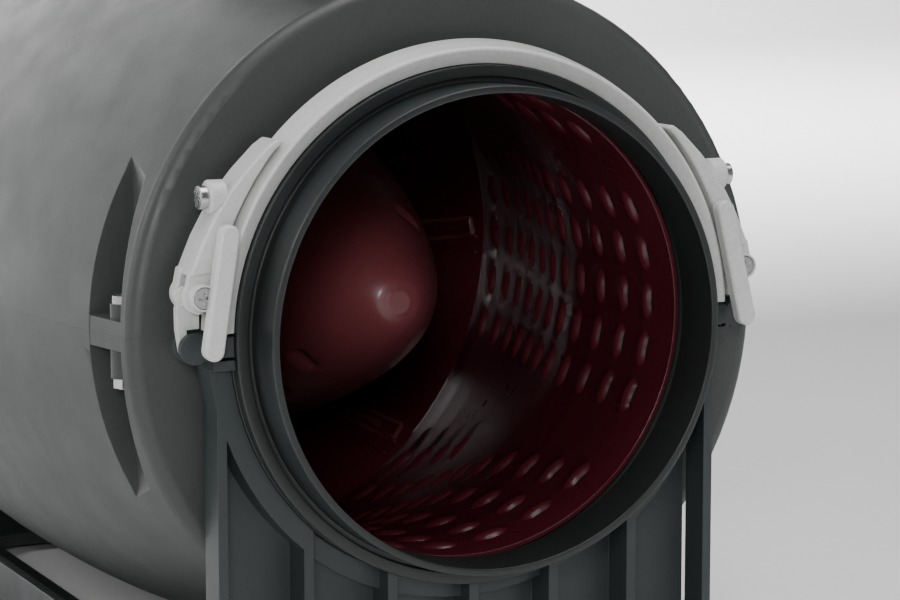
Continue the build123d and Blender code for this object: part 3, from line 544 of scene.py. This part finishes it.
def hub_dome():
    """Bullet-shaped dome with a flat tip, and a scooped oval at each vent."""
    turns = 384
    stations = [(DOME_TIP, r) for r in (0.6, 2.4, 4.2, 5.1)] + [(DOME_TIP + 0.15, 5.5), (DOME_TIP + 0.5, 6.4)]
    d = DOME_TIP + 1.0
    while d < DOME_BASE:
        stations.append((d, dome_radius(d)))
        d += 0.6 + min(2.2, (d - DOME_TIP) * 0.1) if d < 215 else 6.0
    stations.append((DOME_BASE, dome_radius(DOME_BASE)))
    scoops = [(d, a + 90 * q, length, width) for d, a, length, width in SCOOPS for q in range(4)]
    points = []
    for d, r in stations:
        for k in range(turns):
            angle = 360.0 * k / turns
            sink = 0.0
            for mid, centre, length, width in scoops:
                across = math.radians((angle - centre + 180) % 360 - 180) * r
                run = (d - mid) * 1.08
                if abs(across) < length and abs(run) < width:
                    q = (across / length) ** 2 + (run / width) ** 2
                    if q < 1:
                        edge = min(1.0, (1 - q) / 0.3)
                        ramp = 0.5 - 0.5 * run / width
                        sink = max(sink, 5.2 * edge * edge * (3 - 2 * edge) * (0.25 + 0.75 * ramp))
            points.append(polar(-1, d + sink * 0.35, r - sink, angle))
    faces = [tuple(range(turns))]
    for row in range(len(stations) - 1):
        for k in range(turns):
            nxt = (k + 1) % turns
            faces.append((row * turns + k, row * turns + nxt, (row + 1) * turns + nxt, (row + 1) * turns + k))
    back = len(stations) * turns
    inner = [(DOME_BASE, dome_radius(DOME_BASE) - 2.0), (DOME_BASE - 6, dome_radius(DOME_BASE - 6) - 2.0)]
    for d, r in inner:
        points += [polar(-1, d, r, 360.0 * k / turns) for k in range(turns)]
    for row in range(len(stations) - 1, len(stations) + 1):
        for k in range(turns):
            nxt = (k + 1) % turns
            faces.append((row * turns + k, row * turns + nxt, (row + 1) * turns + nxt, (row + 1) * turns + k))
    faces.append(tuple(range(back + turns, back + 2 * turns))[::-1])
    return outward(piece("vented_dome", points, faces, dome_plastic, "inner_skin", replaces=["hub_dome"]))


hub_dome()

# ---------------------------------------------------------------- raised frames on the stage cone
CONE = [(336.0, 152.3), (348.0, 147.6), (362.0, 141.2), (378.0, 133.4), (394.0, 125.8), (408.0, 120.6)]


def cone_bar(name, start, stop, width, height, material):
    """Bar lying on the stage cone between two (d, angle) points."""
    steps = 8
    near = polar(-1, start[0], along(CONE, start[0]), start[1])
    far = polar(-1, stop[0], along(CONE, stop[0]), stop[1])
    points = []
    for i in range(steps + 1):
        t = i / steps
        d = start[0] + (stop[0] - start[0]) * t
        angle = start[1] + (stop[1] - start[1]) * t
        r = along(CONE, d)
        here = polar(-1, d, r, angle)
        run = far - near
        inward = (Vector((0, here.y, AXIS_Z)) - here).normalized()
        across = run.cross(inward).normalized() * width / 2
        lift = across.cross(run).normalized()
        lift = lift if lift.dot(inward) > 0 else -lift
        points += [here - across - lift * 0.4, here + across - lift * 0.4,
                   here + across + lift * height, here - across + lift * height]
    faces = [(0, 1, 2, 3), tuple(range(4 * steps, 4 * steps + 4))[::-1]]
    for i in range(steps):
        for j in range(4):
            k = (j + 1) % 4
            faces.append((4 * i + j, 4 * i + k, 4 * i + 4 + k, 4 * i + 4 + j))
    return eased(outward(piece(name, points, faces, material, "inner_skin")), 0.35, 2)


for k in range(8):
    turn = -46.9 + 45.0 * k
    rail = 2.0
    outer_low, outer_high = (342.2, turn + 0.9), (344.2, turn + 4.2)
    inner_low, inner_high = (381.0, turn - 2.0), (379.0, turn + 2.4)
    cone_bar(f"cone_frame_{k}_a", outer_low, inner_low, rail, 1.5, dome_plastic)
    cone_bar(f"cone_frame_{k}_b", outer_high, inner_high, rail, 1.5, dome_plastic)
    cone_bar(f"cone_frame_{k}_c", outer_low, outer_high, rail, 1.5, dome_plastic)
    if k % 2 == 0:
        cone_bar(f"cone_frame_{k}_pad", (355.0, turn + 1.5), (378.0, turn + 0.2), 5.4, 0.7, dome_plastic)

# ---------------------------------------------------------------- collars, gaskets and clamp straps
COLLAR = [
    (0, 95.9), (0, 99.0), (22.4, 99.0), (22.4, 101.4), (19.5, 101.4), (19.5, 106.3), (25.2, 106.3),
    (25.2, 95.9),
]
STRAP = [
    (21.8, 106.6), (18.6, 112.2), (19.4, 113.4), (26.8, 115.2), (33.4, 116.2), (36.0, 115.2), (36.0, 103.7),
    (33.7, 103.7), (33.7, 106.7),
]
STRAP_CUT = 3.8
STRAP_MEAN_RADIUS = 110.0
for end, name in ENDS:
    lathe(name + "_collar_ring", end, filleted(COLLAR, [0.7, 0.8, 0.5, 0.3, 0.5, 0.8, 0.6, 0.3], 4),
          collar_plastic, "collar", replaces=[name + "_collar"], segments=320)
    cut = math.degrees(math.asin(STRAP_CUT / STRAP_MEAN_RADIUS))
    eased(lathe(name + "_clamp_strap", end,
                filleted(STRAP, [0.3, 0.9, 1.0, 1.5, 1.6, 1.2, 0.3, 0.3, 0.2], 4),
                strap_plastic, "strap", start=cut, stop=180 - cut, replaces=[name + "_strap"], segments=200),
          0.3, 2, 60)

# ---------------------------------------------------------------- latches
PIVOT = (120.8, 18.9)
LINK_PIN = (126.1, 18.9)
HOOK_BAR = (122.0, -2.0)
LEVER_LEAN = math.tan(math.radians(5.0))
BOSS_Z = 57.0
BOSS_D = 28.0
BOSS_RADIUS = 6.8
EAR_RADIUS = 6.9
EAR_TOP = 29.5
STRAP_FACE_RADIUS = 116.4
GRIP_RADIUS = 4.1
DISC_RADIUS = 5.2
SCREW_WELL_RADIUS = 4.4
CRANK_RADIUS = 4.0
EYE_RADIUS = 3.1
HOOK_OUTER = 5.0
HOOK_INNER = 2.2


def capsule(p, q, r0, r1, steps=10):
    """Outline of a bar with round ends of two radii."""
    heading = math.degrees(math.atan2(q[1] - p[1], q[0] - p[0]))
    far = circle(q, r1, heading - 90, heading + 90, steps)
    return far + circle(p, r0, heading + 90, heading + 270, steps)


def strap_face(angle, r):
    """(u, z) of a polar point of the strap."""
    return (r * math.cos(math.radians(angle)), r * math.sin(math.radians(angle)))


def ring(name, side, end, outer, inner, d0, d1, edge, body):
    """Flat ring round the lever's pivot."""
    turns = 56
    section = ((d0, outer), (d1, outer), (d1, inner), (d0, inner))
    points = []
    for k in range(turns):
        a = 2 * math.pi * k / turns
        points += [(side * (PIVOT[0] + r * math.cos(a)), at(end, d), AXIS_Z + PIVOT[1] + r * math.sin(a))
                   for d, r in section]
    faces = []
    for k in range(turns):
        m = (k + 1) % turns
        faces += [(4 * k + j, 4 * k + (j + 1) % 4, 4 * m + (j + 1) % 4, 4 * m + j) for j in range(4)]
    return eased(outward(piece(name, points, faces, strap_plastic, "strap", body=body)), edge, 3)


def latch_bracket(side, hand, end, name):
    """Wedge riveted along the strap, with a screw boss and two hinge ears."""
    part = name + "_" + hand
    body = [strap_face(a, STRAP_FACE_RADIUS) for a in (13.8, 17, 21, 25, 29, 33, 37, 40)]
    body += [(85.2, 78.2), (88.2, 79.2)]
    body += [(92.5, 76.2), (101.6, 67.1), (108.0, 59.5), (114.0, 50.5), (119.0, 41.5), (123.5, 31.0)]
    body += [(125.2, 26.8)]
    plate(part + "_bracket_body", side, end, body, 20.4, 37.8, strap_plastic, "strap", 1.1,
          replaces=[part + "_latch_bracket"])
    ear = circle(PIVOT, EAR_RADIUS, -100, 38, 22) + [(124.9, EAR_TOP), (113.4, EAR_TOP), (114.0, 22.0)]
    plate(part + "_bracket_ear_back", side, end, ear, 31.6, 38.0, strap_plastic, "strap", 0.8)
    plate(part + "_bracket_ear_front", side, end, ear, 21.0, 24.4, strap_plastic, "strap", 0.7)
    boss = (side * 108.0, at(end, BOSS_D), AXIS_Z + BOSS_Z)
    rod(part + "_bracket_boss", boss, (side * 115.6, at(end, BOSS_D), AXIS_Z + BOSS_Z), BOSS_RADIUS,
        strap_plastic, "strap", 0.8, 56)


def latch_lever(side, hand, end, name):
    """Hand lever with a round-ended grip, hub and link pin."""
    part = name + "_" + hand
    body = part + "_lever_arm"
    bar = capsule((118.8, -1.2), (110.5, 43.0), GRIP_RADIUS, GRIP_RADIUS, 14)
    grip = plate(part + "_lever_grip", side, end, bar, 11.5, 17.7, strap_plastic, "strap", 1.5, body=body,
                 replaces=[part + "_lever"])
    for vertex in grip.data.vertices:
        vertex.co.y -= end * (vertex.co.z - (AXIS_Z + PIVOT[1]) * MM) * LEVER_LEAN
    grip.modifiers["edges"].segments = 5
    ring(part + "_lever_hub", side, end, DISC_RADIUS, SCREW_WELL_RADIUS, 15.6, 20.4, 0.35, body)
    plate(part + "_lever_disc", side, end, circle(PIVOT, DISC_RADIUS, 0, 352, 44), 18.9, 27.0, strap_plastic,
          "strap", 0.3, body=body)
    plate(part + "_lever_crank", side, end, capsule(PIVOT, LINK_PIN, CRANK_RADIUS, CRANK_RADIUS, 12),
          24.6, 27.0, strap_plastic, "strap", 0.4, body=body)
    rod(part + "_lever_pin", (side * LINK_PIN[0], at(end, 26.6), AXIS_Z + LINK_PIN[1]),
        (side * LINK_PIN[0], at(end, 31.4), AXIS_Z + LINK_PIN[1]), 1.6, strap_plastic, "strap", 0.2, 24,
        body=body)


def latch_link(side, hand, end, name):
    """Link that pulls its hook against the catch bar."""
    part = name + "_" + hand
    body = part + "_link_hook"
    eye = circle(LINK_PIN, EYE_RADIUS, -60, 240, 20)
    outer = [(119.0, 13.6), (119.0, 5.4), (124.2, 5.2)] + circle(HOOK_BAR, HOOK_INNER, 25, -130, 14)
    outer += circle(HOOK_BAR, HOOK_OUTER, -130, -8, 14) + [(128.2, 5.4), (128.3, 13.8)]
    plate(part + "_link_arm", side, end, eye + outer, 27.2, 31.2, strap_plastic, "strap", 0.35,
          body=body, replaces=[part + "_link"])


for end, name in ENDS:
    for side, hand in SIDES:
        latch_bracket(side, hand, end, name)
        latch_lever(side, hand, end, name)
        latch_link(side, hand, end, name)

# ---------------------------------------------------------------- stage, light and camera
def stage_material(name, colour, rough):
    n = Nodes(name)
    clouds = n.ranged(n.noise(3.0), 0.0, 1.0)
    n.link(n.mix(clouds, colour, [c * 0.97 for c in colour]), n.shader.inputs["Base Color"])
    n.shader.inputs["Roughness"].default_value = rough
    return n.material


def studio_floor():
    """Pale floor that sweeps up into a backdrop behind the fan."""
    reach = 7.0
    back = 5.0
    profile = [(-reach, 0.0), (back, 0.0)]
    profile += [(back + 1.5 * math.sin(a), 1.5 - 1.5 * math.cos(a)) for a in
                [math.pi / 2 * k / 12 for k in range(1, 13)]]
    profile.append((back + 1.5, 6.0))
    mesh = bpy.data.meshes.new("studio_floor")
    points = [(x, y, z) for y, z in profile for x in (-reach, reach)]
    mesh.from_pydata(points, [], [(2 * i, 2 * i + 1, 2 * i + 3, 2 * i + 2) for i in range(len(profile) - 1)])
    mesh.materials.append(stage_material("pale_floor", (0.93, 0.93, 0.93), 0.7))
    mesh.shade_smooth()
    floor = bpy.data.objects.new("studio_floor", mesh)
    bpy.context.scene.collection.objects.link(floor)


def soft_light(name, place, target, size, power, colour=(1, 1, 1)):
    lamp = bpy.data.lights.new(name, "AREA")
    lamp.shape = "RECTANGLE"
    lamp.size, lamp.size_y = size
    lamp.energy = power
    lamp.color = colour
    obj = bpy.data.objects.new(name, lamp)
    obj.location = place
    obj.rotation_euler = (Vector(target) - Vector(place)).to_track_quat("-Z", "Y").to_euler()
    bpy.context.scene.collection.objects.link(obj)
    return obj


studio_floor()
world = bpy.data.worlds.new("studio")
bpy.context.scene.world = world
world.use_nodes = True
world.node_tree.nodes["Background"].inputs["Color"].default_value = (1, 1, 1, 1)
world.node_tree.nodes["Background"].inputs["Strength"].default_value = 0.12
fan_middle = (0.0, -0.25, 0.2)
soft_light("overhead_softbox", (0.1, -0.5, 1.7), fan_middle, (1.6, 1.2), 24.0)
soft_light("front_key", (-0.9, -2.0, 0.75), fan_middle, (0.35, 0.35), 15.0)
soft_light("left_strip", (-1.7, 0.1, 0.9), fan_middle, (0.4, 1.2), 12.0)
soft_light("right_fill", (1.4, -1.2, 0.5), fan_middle, (0.8, 0.8), 3.0)
soft_light("backdrop_wash", (0.0, 2.2, 2.6), (0.0, 5.5, 0.8), (4.0, 1.0), 900.0)

AZIMUTH = -25.0
ELEVATION = 7.75
CAMERA_DISTANCE = 1.187
target = Vector((-0.0236, -0.320, 0.2048))
azimuth = math.radians(AZIMUTH)
elevation = math.radians(ELEVATION)
back = Vector((math.sin(azimuth) * math.cos(elevation), -math.cos(azimuth) * math.cos(elevation),
               math.sin(elevation)))
lens = bpy.data.cameras.new("camera")
lens.lens = 120.0
lens.sensor_width = 36.0
lens.clip_start = 0.05
lens.clip_end = 50.0
camera = bpy.data.objects.new("camera", lens)
camera.location = target + back * CAMERA_DISTANCE
camera.rotation_euler = (-back).to_track_quat("-Z", "Y").to_euler()
bpy.context.scene.collection.objects.link(camera)
bpy.context.scene.camera = camera
